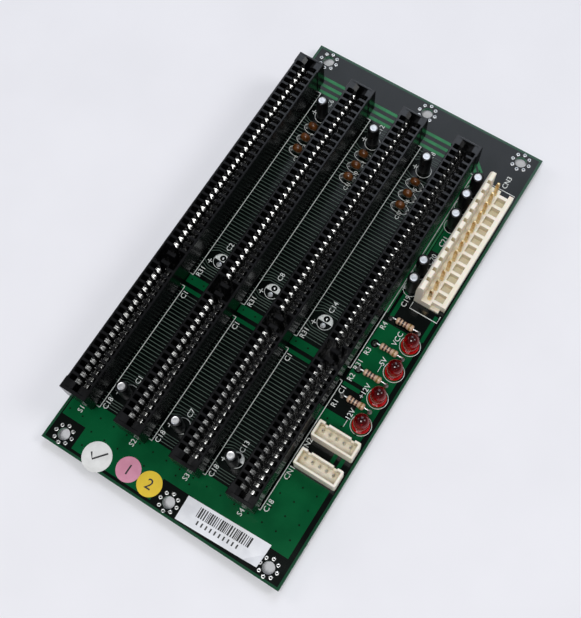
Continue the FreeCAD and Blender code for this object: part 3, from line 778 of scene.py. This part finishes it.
def power_moulding():
    """The header's section carried along Y, changed at each recess and notch between neighbouring pins.

    Corners run from the back of the wall over its top and the bed to the front. Notches narrow the wall,
    recesses lower the bed, and the near end has a recess with no lip.
    """
    low, high = box_mm("power_header_body")
    near, far = low[1], high[1]
    between = near + PIN_PITCH * np.arange(PIN_COUNT + 1)
    halves = np.array([-RECESS_HALF, RECESS_HALF, -NOTCH_HALF, NOTCH_HALF])
    cuts = (between + halves[:, None]).ravel()
    cuts = np.unique(np.concatenate([cuts[(cuts > near) & (cuts < far)], [near, far]]))
    start, end = cuts[:-1], cuts[1:]
    middle = (start + end) / 2
    off = np.abs(middle[:, None] - between).min(1)
    notched = (off < NOTCH_HALF) & (middle < far - PIN_PITCH / 2) & (middle > near + PIN_PITCH / 2)
    open_end = middle < near + RECESS_HALF
    tooth = np.where(notched, WALL_STEP, WALL_WIDE)
    tooth_top = np.where(notched, tooth, tooth - SOFT_EDGE)
    floor = np.where(off < RECESS_HALF, RECESS_FLOOR, BED)
    lip = np.where(open_end, floor, BED)
    front = np.where(open_end, OPEN_END_EDGE, high[0] - low[0])
    front_top = np.where(open_end, front, front - SOFT_EDGE)
    corners = [
        (0, 0), (0, WALL_BACK), *((x, WALL_TOP - drop) for x, drop in WALL_CURVE), (WALL_STEP, WALL_TOP),
        (tooth_top, WALL_TOP), (tooth, WALL_TOP - SOFT_EDGE), (tooth, WALL_TOP - NOTCH_DROP),
        (WALL_WIDE, WALL_TOP - NOTCH_DROP - SOFT_EDGE), (WALL_WIDE, BED + SOFT_EDGE),
        (WALL_WIDE + SOFT_EDGE, BED), (RECESS_START, BED), (RECESS_START, floor), (RECESS_END, floor),
        (RECESS_END, lip), (front_top, lip), (front, lip - SOFT_EDGE), (front, 0),
    ]
    x, z = [np.stack(np.broadcast_arrays(*values), -1).repeat(2, axis=0) for values in zip(*corners)]
    y = np.broadcast_to(np.stack([start, end], -1).reshape(-1, 1), x.shape)
    return np.stack([low[0] + x, y, board_top + z], -1).reshape(-1, 3), capped(*x.shape)


# Natural nylon: warm off-white and faintly waxy, with painted shade that turns it a darker yellow-beige in
# the hollows
nylon = drifting_finish("natural moulded nylon", ("#efe6d4", "#f6efe1"), patch=5.0, rough=(0.36, 0.48),
                        bump=0.004, bump_grain=0.3, Subsurface_Weight=0.12, Subsurface_Scale=0.001)
tree = nylon.node_tree
shader = tree.nodes["Principled BSDF"]
open_colour = shader.inputs["Base Color"].links[0].from_socket
# Painted shade: the less open space there is round a point, the more its colour moves to the darker hollow
# tone
openness = add(tree, "ShaderNodeAmbientOcclusion", {"Distance": HOLLOW_SHADE_REACH * MM}, samples=8)
shade_share = add(tree, "ShaderNodeMapRange", {0: openness.outputs["AO"], 1: HOLLOW_SHADE_SPAN[0], 2: HOLLOW_SHADE_SPAN[1]})
hollow_shade_mix = add(tree, "ShaderNodeMix", {0: shade_share.outputs[0], 6: linear(PAINTED_HOLLOW_SHADE), 7: open_colour},
             data_type="RGBA")
tree.links.new(hollow_shade_mix.outputs[2], shader.inputs["Base Color"])
# Drawn brass under a thin tin flash: straw-coloured metal
pin_brass = drifting_finish("tin-flashed drawn brass", ("#d8b67c", "#efdcb0"), patch=1.2, rough=(0.25, 0.4),
                            metallic=1.0)
place("power_moulding", power_moulding(), [nylon], "power_header_body")
coat("power_header_pins", pin_brass)

# Small headers
# Two open-topped nylon shrouds with rounded corners and two key notches in the far wall; five square
# pins stand in each.
SHROUD_WALL = 0.8
SHROUD_FLOOR = 2.4
SHROUD_CORNER = 0.45
SHROUD_SOFT = 0.15
CORNER_EASE = 0.4
CORNER_LEAST = 0.12
CORNER_POINTS = 5
SHROUD_NOTCH_X = 4.6
SHROUD_NOTCH_HALF = 0.65
SHROUD_NOTCH_DROP = 3.2
NOTCH_EDGE = 0.02


def shroud(low, high):
    """Rounded rectangles stacked from the foot, over the rim and down to the floor inside.

    Each level is the outline moved in by some amount; rim points over a notch in the far wall are lowered.
    """
    middle = (low + high) / 2
    half = (high - low) / 2
    height = high[2] - low[2]
    rim = height - SHROUD_SOFT
    levels = ((0, 0), (0, rim), (SHROUD_SOFT, height), (SHROUD_WALL - SHROUD_SOFT, height),
              (SHROUD_WALL, rim), (SHROUD_WALL, SHROUD_FLOOR))
    inset, z = np.array(levels).T[:, :, None]
    corner = np.maximum(SHROUD_CORNER - inset * CORNER_EASE, CORNER_LEAST)
    turn = np.radians(np.add.outer([0, 90, 180, 270], np.linspace(0, 90, CORNER_POINTS)).ravel())
    x = np.repeat([1, -1, -1, 1], CORNER_POINTS) * (half[0] - inset - corner) + corner * np.cos(turn)
    y = np.repeat([1, 1, -1, -1], CORNER_POINTS) * (half[1] - inset - corner) + corner * np.sin(turn)
    edges = SHROUD_NOTCH_X + np.outer([-1, 1], [SHROUD_NOTCH_HALF + NOTCH_EDGE, SHROUD_NOTCH_HALF]).ravel()
    far_x = np.sort(np.concatenate([edges, -edges]))[::-1]
    wall_shape = (len(levels), len(far_x))
    x = np.hstack([x[:, :CORNER_POINTS], np.broadcast_to(far_x, wall_shape), x[:, CORNER_POINTS:]])
    y = np.hstack([y[:, :CORNER_POINTS], np.broadcast_to(half[1] - inset, wall_shape), y[:, CORNER_POINTS:]])
    over = np.abs(np.abs(x) - SHROUD_NOTCH_X) < SHROUD_NOTCH_HALF + NOTCH_EDGE / 2
    lowered = over & (y > 0) & (z > SHROUD_FLOOR)
    points = np.stack([x, y, z - SHROUD_NOTCH_DROP * lowered], -1) + (middle[0], middle[1], low[2])
    return points.reshape(-1, 3), capped(*x.shape)


for number in (1, 2):
    node = "small_header_body_%d" % number
    place("small_shroud_%d" % number, shroud(*box_mm(node)), [nylon], node, smooth=True)
    coat("small_header_pins_%d" % number, tinned)

# Indicator lamps
# 5 mm lamps cast in red-tinted clear epoxy: a flange, a straight wall and a domed lens over a small
# plated cup and post.
LENS_R = 2.5
LENS_FOOT = ((0.0, 0.0), (2.85, 0.0), (2.95, 0.1), (2.95, 0.85), (2.83, 1.0), (2.6, 1.0), (2.5, 1.12))
WALL_RING = 0.6
CUP = ((0.0, 1.4), (0.45, 1.4), (0.45, 3.6), (0.95, 4.1), (0.95, 4.6), (0.75, 4.6), (0.35, 4.15), (0.0, 4.15))
CUP_ASIDE = -0.5
PAINTED_DOME_SHADE = "#2a0204"
DOME_SHADE_FROM = 0.55
# Tinted epoxy with a wet gloss: a painted glow makes it bright red low down, and painted shade makes the dome
# deep maroon
red_epoxy = drifting_finish("red-tinted cast epoxy", ("#d00a0e", "#dc1012"), patch=4.0, rough=(0.03, 0.05),
                            IOR=1.5, Transmission_Weight=0.4, Specular_IOR_Level=0.3)
lamp_low, lamp_high = box_mm("indicator_led_1")
lamp_height = lamp_high[2] - lamp_low[2]
tree = red_epoxy.node_tree
shader = tree.nodes["Principled BSDF"]
# Painted light and shade: the colour runs with height from the red glow at the foot to deep maroon shade over
# the dome
spot = add(tree, "ShaderNodeSeparateXYZ", {0: add(tree, "ShaderNodeTexCoord", {}).outputs["Object"]})
dome_shade_start = (board_top + lamp_height * DOME_SHADE_FROM) * MM
dome_shade_end = (board_top + lamp_height) * MM
dome_shading = add(tree, "ShaderNodeMapRange", {0: spot.outputs["Z"], 1: dome_shade_start, 2: dome_shade_end})
painted_low_glow = shader.inputs["Base Color"].links[0].from_socket
glow_and_dome_shade = add(tree, "ShaderNodeMix", {0: dome_shading.outputs[0], 6: painted_low_glow, 7: linear(PAINTED_DOME_SHADE)},
             data_type="RGBA")
tree.links.new(glow_and_dome_shade.outputs[2], shader.inputs["Base Color"])
dome_start = lamp_height - LENS_R
dome_angle = np.radians(np.linspace(10, 90, 9))
dome = np.stack([LENS_R * np.cos(dome_angle), dome_start + LENS_R * np.sin(dome_angle)], -1)
lens = turned([*LENS_FOOT, (LENS_R, dome_start * WALL_RING), (LENS_R, dome_start), *dome], sides=40)
lamp_spots = at_level(lamp_places, board_top)
place_each("lamp_lens_%d", lens, lamp_spots, [red_epoxy], "indicator_led_%d", smooth=True)
cups = repeat(*turned(CUP, sides=16), lamp_spots + (CUP_ASIDE, 0, 0))
place("lamp_cups", cups, [spring_tin], smooth=True)

# Resistors
# Carbon-film resistors: a lacquered tan body with bulged ends and painted bands, on tinned copper wires
# bent square into the board.
BODY_HALF = 3.15
BODY_STEPS = 29
BODY_SIDES = 24
BODY_R = 1.15
WAIST_R = 0.93
BULGE = 0.21
BULGE_START = 1.25
BULGE_EASE = 0.16
NOSE_LENGTH = 0.6
NOSE_DRAW = 0.75
BAND_TONES = ("#3d1c12", "#241512", "#5b2a17", "#8a6a2c")
BAND_CENTRES = np.array((-1.75, -0.65, 0.45, 1.9))
BAND_HALF = 0.3
BEND_R = 0.7
WIRE_SIDES = 10
WIRE_IN = 0.4
WIRE_OUT = 0.3
RESISTOR_FOOT = ((0.0, 0.0), (0.85, 0.0), (0.8, 0.06), (0.45, 0.25), (0.3, 0.5), (0.0, 0.5))
# Lacquer: pale tan, glossy; the bands are the same lacquer in other colours
lacquer = [drifting_finish("tan resistor lacquer", ("#c3a083", "#d2b397"), patch=1.5, rough=(0.25, 0.35),
                           bump=0.01, bump_grain=0.5)]
for number, tone in enumerate(BAND_TONES, start=1):
    lacquer.append(drifting_finish("resistor band lacquer %d" % number, (tone, tone), patch=1.5,
                                   rough=(0.25, 0.35)))


def resistor_body():
    """A profile turned about X, its radius eased from waist to bulged ends; faces take the band over them."""
    edges = np.concatenate([BAND_CENTRES - BAND_HALF, BAND_CENTRES + BAND_HALF])
    along = np.unique(np.concatenate([np.linspace(-BODY_HALF, BODY_HALF, BODY_STEPS), edges]))
    off = np.abs(along)
    radius = WAIST_R + BULGE / (1 + np.exp(-(off - BULGE_START) / BULGE_EASE))
    nose = np.clip((off - BODY_HALF + NOSE_LENGTH) / NOSE_LENGTH, 0, 1)
    radius = radius * np.sqrt(1 - NOSE_DRAW * nose ** 2)
    along = np.concatenate([[-BODY_HALF], along, [BODY_HALF]])
    radius = np.concatenate([[0.0], radius, [0.0]])
    points, faces = turned(np.stack([radius, along], -1), BODY_SIDES)
    middle = (along[:-1] + along[1:]) / 2
    in_band = np.abs(middle[:, None] - BAND_CENTRES) < BAND_HALF
    picks = np.where(in_band.any(1), in_band.argmax(1) + 1, 0)
    return points[:, [2, 0, 1]], faces, np.repeat(picks, BODY_SIDES)


def wire(path, radius):
    """A round section carried along a bent line in the X-Z plane, square to it; radius 0 closes each end."""
    path = np.asarray(path, float)
    path, across = [np.concatenate([rows[:1], rows, rows[-1:]]) for rows in (path, square_to(path))]
    reach = np.full((len(path), 1), radius)
    reach[[0, -1]] = 0
    angle = np.linspace(0, 2 * math.pi, WIRE_SIDES, endpoint=False)
    flat = path[:, None] + (reach * np.cos(angle))[..., None] * across[:, None]
    points = np.stack([flat[..., 0], reach * np.sin(angle), flat[..., 1]], -1)
    return points.reshape(-1, 3), quads(len(path), WIRE_SIDES, closed=True)


low, high = box_mm("resistor_1")
pad = (high[0] - low[0]) / 2 - WIRE_R
axis = high[2] - board_top - BODY_R
bend = np.radians(np.linspace(90, 0, 7))
elbow = np.stack([pad - BEND_R + BEND_R * np.cos(bend), axis - BEND_R + BEND_R * np.sin(bend)], -1)
leg = wire([(BODY_HALF - WIRE_IN, axis), (BODY_HALF + WIRE_OUT, axis), *elbow, (pad, 0.0)], WIRE_R)
foot = repeat(*turned(RESISTOR_FOOT, sides=14), [(pad, 0, 0)])
legs = both_sides(*join(leg, foot))
body_points, body_faces, body_picks = resistor_body()
resistor = join((body_points + (0, 0, axis), body_faces), legs)
picks = np.concatenate([body_picks, np.full(len(legs[1]), len(lacquer))])
place_each("film_resistor_%d", resistor, at_level(resistor_places, board_top), [*lacquer, tinned],
           "resistor_%d", picks, smooth=True)

# Electrolytic capacitors
# Small aluminium cans in shrunk black sleeves: the sleeve dips into the crimp groove near the foot and
# rolls over the top edge, leaving a bare lid.
CAN_SIDES = 36
SLEEVE_FOOT = ((0.0, 0.0), (1.7, 0.0), (1.95, 0.15), (1.97, 0.9), (1.84, 1.2), (1.84, 1.45), (1.98, 1.8),
               (2.0, 2.2))
SLEEVE_TOP = ((2.0, -0.6), (1.92, -0.25), (1.72, -0.04), (1.5, 0.0), (1.28, -0.03), (1.24, -0.14))
LID = ((1.22, -0.15), (0.7, -0.11), (0.0, -0.1))
# Shrunk sleeve: soft black gloss; drawn aluminium lid: pale and satin
sleeve_film = drifting_finish("shrunk black sleeve film", ("#08080a", "#0e0e10"), patch=2.0,
                              rough=(0.25, 0.36), bump=0.01, bump_grain=0.8, Specular_IOR_Level=0.3)
lid_metal = drifting_finish("drawn aluminium lid", ("#c0c0c1", "#d2d2d2"), patch=0.6, rough=(0.33, 0.42),
                            metallic=1.0)
can_low, can_high = box_mm("electrolytic_capacitor_01")
upper = np.array(SLEEVE_TOP + LID) + (0, can_high[2] - can_low[2])
can = turned([*SLEEVE_FOOT, *upper], CAN_SIDES)
lid_faces = CAN_SIDES * len(LID)
picks = np.repeat([0, 1], [len(can[1]) - lid_faces, lid_faces])
place_each("sleeved_can_%02d", can, at_level(can_places, board_top), [sleeve_film, lid_metal],
           "electrolytic_capacitor_%02d", picks, smooth=True)

# Ceramic capacitors
# Multilayer chips on two wires, dipped in brown epoxy that draws into rounded beads and runs a little
# down the wires.
BEAD_HALF = (1.8, 1.3, 1.65)
BEAD_MIDDLE = 2.5
BEAD_ROWS = 15
BEAD_SIDES = 24
SIDE_SQUARING = 0.9
TOP_SQUARING = 0.85
BEAD_PAD = 2.54
BEAD_WIRE_R = 0.27
BEAD_LEG = ((1.0, 1.6), (1.5, 1.2), (2.1, 0.9), (2.42, 0.6), (BEAD_PAD, 0.3), (BEAD_PAD, 0.0))
BEAD_FOOT = ((0.0, 0.0), (0.8, 0.0), (0.75, 0.05), (0.42, 0.22), (0.28, 0.45), (0.0, 0.45))
# Dipped epoxy: warm brown gloss in uneven patches, slightly lumpy
dip = drifting_finish("dipped brown epoxy", ("#4f2c10", "#6e401b"), patch=1.2, rough=(0.22, 0.34), bump=0.02,
                      bump_grain=0.9)


def rounded_power(value, power):
    """Value raised to a power with its sign kept, which squares off a circle's cosine or sine."""
    return np.sign(value) * np.abs(value) ** power


def bead():
    """A squared-off ellipsoid on angles round and up: powers of cosines and sines times its half sizes."""
    up = np.radians(np.linspace(-90, 90, BEAD_ROWS))[:, None]
    around = np.linspace(0, 2 * math.pi, BEAD_SIDES, endpoint=False)
    flat = rounded_power(np.cos(up), SIDE_SQUARING)
    x = BEAD_HALF[0] * flat * rounded_power(np.cos(around), TOP_SQUARING)
    y = BEAD_HALF[1] * flat * rounded_power(np.sin(around), TOP_SQUARING)
    z = np.broadcast_to(BEAD_MIDDLE + BEAD_HALF[2] * rounded_power(np.sin(up), SIDE_SQUARING), x.shape)
    return np.stack([x, y, z], -1).reshape(-1, 3), quads(BEAD_ROWS, BEAD_SIDES, closed=True)


body = bead()
foot = repeat(*turned(BEAD_FOOT, sides=14), [(BEAD_PAD, 0, 0)])
legs = both_sides(*join(wire(BEAD_LEG, BEAD_WIRE_R), foot))
picks = np.repeat([0, 1], [len(body[1]), len(legs[1])])
place_each("dipped_bead_%d", join(body, legs), at_level(bead_places, board_top), [dip, tinned],
           "ceramic_capacitor_%d", picks, smooth=True)

# Stickers
# Three punched paper dots and a small paper label stuck to the near edge. The dots carry a tick and plain
# numbers in marker, the label plain printed bars, and its near right corner has lifted.
PAPER = 0.1
DOTS = ((-25.5, -79.9, 4.9, "#d5d5d3", "#e2e2e0"), (-14.75, -77.9, 4.1, "#cf86a0", "#d792ab"),
        (-6.6, -78.1, 4.1, "#d9b60c", "#e2c11a"))
DOT_RINGS = 16
DOT_SIDES = 64
DOT_DROOP = 0.35
LABEL_CORNERS = np.array(((6.0, -82.6), (35.3, -81.5), (5.75, -74.5), (35.5, -73.5)))
LABEL_COLUMNS = 41
LABEL_ROWS = 13
LABEL_LIFT = 1.6
CURL_ALONG = 2.0
CURL_DOWN = 0.6
CURL_START = 2.25
CURL_LENGTH = 0.35
PRINT = 0.02
LABEL_WIDTH = 30
BAR_COUNT = 27
BAR_FIRST = 0.17
BAR_WIDTH = (0.26, 0.18)
BAR_SPACE = (0.2, 0.12)
BAR_SPAN = (0.46, 0.87)
STROKES = (0.22, 0.7, 10)
STROKE_WIDTH = 0.017
STROKE_SPAN = (0.2, 0.37)
NUMBER_HEIGHT = 3.4
TICK_MARK = ((-27.9, -79.4), (-26.4, -81.2), (-23.0, -77.2))
TICK_WIDTH = 0.6
paper_top = copper_top + PAPER
# Sticker paper: matt white, pink and yellow with a faint grain
for number, (x, y, radius, dark, pale) in enumerate(DOTS, start=1):
    paper = drifting_finish("coloured sticker paper %d" % number, (dark, pale), patch=3.0, rough=(0.45, 0.6),
                            bump=0.01)
    rings = radius * np.linspace(0, 1, DOT_RINGS)
    profile = [(ring, 0.0) for ring in rings] + [(ring, PAPER) for ring in rings[::-1]]
    points, faces = turned(profile, DOT_SIDES)
    points = points + (x, y, copper_top)
    points[:, 2] -= DOT_DROOP * np.maximum(board_low[1] - points[:, 1], 0)
    place("paper_dot_%d" % number, (points, faces), [paper])


def label_point(across, up):
    """Place on the label from 0..1 along and 0..1 up it, with its near right corner curling off the board."""
    low = LABEL_CORNERS[0] + (LABEL_CORNERS[1] - LABEL_CORNERS[0]) * across[..., None]
    high = LABEL_CORNERS[2] + (LABEL_CORNERS[3] - LABEL_CORNERS[2]) * across[..., None]
    flat = low + (high - low) * up[..., None]
    curl = np.maximum(across * CURL_ALONG + (1 - up) * CURL_DOWN - CURL_START, 0) / CURL_LENGTH
    return np.concatenate([flat, (paper_top + LABEL_LIFT * curl)[..., None]], -1)


# Coated paper: cool white and nearly matt
label_paper = drifting_finish("coated label paper", ("#dcdde2", "#eaebef"), patch=4.0, rough=(0.4, 0.55),
                              bump=0.006)
sheet_top = label_point(*np.meshgrid(np.linspace(0, 1, LABEL_COLUMNS), np.linspace(0, 1, LABEL_ROWS)))
sheet = np.stack([sheet_top, sheet_top - (0, 0, PAPER)])
count = LABEL_ROWS * LABEL_COLUMNS
corner = np.arange(count).reshape(LABEL_ROWS, LABEL_COLUMNS)
rim = np.concatenate([corner[0], corner[1:, -1], corner[-1, -2::-1], corner[-2:0:-1, 0]])
rim_faces = np.stack([rim, np.roll(rim, -1), np.roll(rim, -1) + count, rim + count], -1)
top_faces = quads(LABEL_ROWS, LABEL_COLUMNS)
faces = np.concatenate([top_faces, top_faces[:, ::-1] + count, rim_faces])
place("paper_label", (sheet.reshape(-1, 3), faces), [label_paper])

# Marker and print on the stickers: plain black bars, plain numbers and a tick, all matt
marker = drifting_finish("black marker ink", ("#121214", "#1d1d20"), patch=0.8, rough=(0.5, 0.65))
bar_number = np.arange(BAR_COUNT)
# Bars and spaces have a least width and up to two steps more, mixed by remainders
bar_width = (BAR_WIDTH[0] + BAR_WIDTH[1] * (bar_number * 7 % 5 % 3)) / LABEL_WIDTH
bar_space = (BAR_SPACE[0] + BAR_SPACE[1] * (bar_number * 11 % 7 % 3)) / LABEL_WIDTH
bar_start = BAR_FIRST + np.cumsum(bar_width + bar_space) - bar_width
stroke_start = np.linspace(*STROKES)
left = np.concatenate([bar_start, stroke_start])
right = np.concatenate([bar_start + bar_width, stroke_start + STROKE_WIDTH])
low, high = np.repeat([BAR_SPAN, STROKE_SPAN], [len(bar_start), len(stroke_start)], axis=0).T
bar_corners = label_point(np.stack([left, right, right, left], -1), np.stack([low, low, high, high], -1))
marks = [lettering(words, *dot[:2], NUMBER_HEIGHT, 0.0, paper_top) for words, dot in zip("12", DOTS[1:])]
marks.append(ribbons([TICK_MARK], TICK_WIDTH, paper_top, PRINT))
place("sticker_marks", join(plates(bar_corners, PRINT), *marks), [marker])

# Floor, light and camera
# The board lies on a pale matt studio floor. Soft boxes stand above and to the right, left and far side,
# a weak fill comes from all round, and the camera stands where the photo was taken from.
FLOOR_HALF = 1.5
FILL = 0.2
CAMERA_PLACE = (0.06627, -0.0921, 0.31497)
CAMERA_RIGHT = (0.84382, 0.53560, -0.03306)
CAMERA_UP = (-0.49732, 0.80368, 0.32676)
FOCAL_PIXELS = 1008.4
PHOTO_HEIGHT = 618
floor_mesh = bpy.data.meshes.new("studio_floor")
floor_corners = [(x * FLOOR_HALF, y * FLOOR_HALF, 0) for x, y in ((-1, -1), (1, -1), (1, 1), (-1, 1))]
floor_mesh.from_pydata(floor_corners, [], [(0, 1, 2, 3)])
# Matt floor: cool near-white with hardly any drift
floor_paint = drifting_finish("pale studio floor", ("#edecf0", "#f0eff3"), patch=40.0, rough=(0.8, 0.9))
floor_mesh.materials.append(floor_paint)
studio_floor = bpy.data.objects.new("studio_floor", floor_mesh)
bpy.context.scene.collection.objects.link(studio_floor)

world = bpy.data.worlds.new("soft studio")
world.use_nodes = True
world.node_tree.nodes["Background"].inputs["Color"].default_value = linear("#eef0f5")
world.node_tree.nodes["Background"].inputs["Strength"].default_value = FILL
bpy.context.scene.world = world


def standing(at, right, lift):
    """Placing matrix from a point and the directions to the right and up; the third axis points back."""
    right = np.asarray(right, float) / np.linalg.norm(right)
    lift = np.asarray(lift, float) / np.linalg.norm(lift)
    axes = np.stack([right, lift, np.cross(right, lift), at], 1)
    return Matrix(axes.tolist() + [[0, 0, 0, 1]])


def soft_light(name, at, aim, size, power, tint="#ffffff"):
    """A square soft box at a place, turned to face a point; metres and watts."""
    lamp = bpy.data.lights.new(name, "AREA")
    lamp.color = linear(tint)[:3]
    lamp.size = size
    lamp.energy = power
    holder = bpy.data.objects.new(name, lamp)
    bpy.context.scene.collection.objects.link(holder)
    forward = np.array(aim, float) - at
    right = np.cross(forward, (0, 0, 1))
    holder.matrix_world = standing(at, right, np.cross(right, forward))


soft_light("key_soft_box", at=(0.05, -0.35, 1.0), aim=(0, 0, 0), size=0.35, power=5.7)
soft_light("right_soft_box", at=(0.69, 0.45, 0.83), aim=(0, 0, 0), size=0.42, power=2.6)
soft_light("left_soft_box", at=(-0.98, 0.0, 0.55), aim=(0, 0, 0), size=0.35, power=1.3)
soft_light("far_soft_box", at=(-0.2, 0.85, 1.0), aim=(0, 0.05, 0), size=0.65, power=4.4, tint="#e6eefb")

view = bpy.data.cameras.new("photo_view")
view.lens = FOCAL_PIXELS / PHOTO_HEIGHT * view.sensor_width
camera = bpy.data.objects.new("photo_view", view)
bpy.context.scene.collection.objects.link(camera)
camera.matrix_world = standing(CAMERA_PLACE, CAMERA_RIGHT, CAMERA_UP)
bpy.context.scene.camera = camera
bpy.context.scene.view_settings.view_transform = "Standard"
